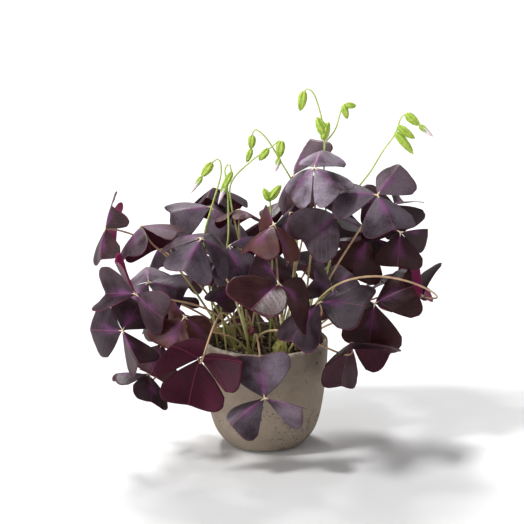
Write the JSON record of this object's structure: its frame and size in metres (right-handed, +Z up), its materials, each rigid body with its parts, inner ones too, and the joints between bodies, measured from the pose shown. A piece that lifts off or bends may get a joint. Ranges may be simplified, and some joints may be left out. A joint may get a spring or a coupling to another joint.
{
  "type": "potted purple shamrock",
  "caption": "Purple-leaved shamrock plant with nodding flower stalks, growing from soil in a round grey pot.",
  "frame": {"origin": "centre of the pot's flat foot, on the surface it stands on", "axes": "+Z up along the pot's axis, +Y the way the picture looks, +X to its right"},
  "size_m": [0.3169, 0.2678, 0.3228],
  "materials": {
    "pot_clay": "matte",
    "potting_soil": "matte",
    "petiole_tan": "satin",
    "leaf_purple": "satin",
    "stalk_green": "satin"
  },
  "bodies": {
    "root": {"pot": "pot_clay", "soil": "potting_soil", "crown_a": "petiole_tan", "crown_b": "petiole_tan", "crown_c": "petiole_tan", "crown_d": "petiole_tan", "crown_e": "petiole_tan", "crown_f": "petiole_tan", "leaf_front": "leaf_purple", "leaf_front_left": "leaf_purple", "leaf_star_right": "leaf_purple", "leaf_big_grey": "leaf_purple", "leaf_middle_star": "leaf_purple", "leaf_star_left": "leaf_purple", "leaf_centre": "leaf_purple", "leaf_left": "leaf_purple", "leaf_right_black": "leaf_purple", "leaf_second_star": "leaf_purple", "leaf_left_star": "leaf_purple", "leaf_low_left": "leaf_purple", "leaf_far_left_low": "leaf_purple", "leaf_right_pair": "leaf_purple", "leaf_far_right": "leaf_purple", "leaf_top_grey": "leaf_purple", "leaf_top_lilac": "leaf_purple", "leaf_top_centre": "leaf_purple", "leaf_right_low": "leaf_purple", "leaf_upper_left": "leaf_purple", "leaf_grey_pair": "leaf_purple", "leaf_left_high": "leaf_purple", "leaf_far_left": "leaf_purple", "leaf_right_high": "leaf_purple", "leaf_right_edge": "leaf_purple", "leaf_upper_right": "leaf_purple", "leaf_lilac_left": "leaf_purple", "leaf_behind_star": "leaf_purple", "leaf_small_grey": "leaf_purple", "leaf_top_wine": "leaf_purple", "leaf_right_back": "leaf_purple", "leaf_glow": "leaf_purple", "leaf_back_1": "leaf_purple", "leaf_back_2": "leaf_purple", "leaf_back_3": "leaf_purple", "leaf_back_4": "leaf_purple", "leaf_back_5": "leaf_purple", "leaf_back_6": "leaf_purple", "leaf_back_7": "leaf_purple", "leaf_back_8": "leaf_purple", "leaf_back_9": "leaf_purple", "leaf_back_10": "leaf_purple", "stalk_left": "stalk_green", "stalk_left_inner": "stalk_green", "stalk_arching": "stalk_green", "stalk_leaning": "stalk_green", "stalk_tall": "stalk_green", "stalk_right": "stalk_green", "stalk_short": "stalk_green"}
  },
  "joints": []
}
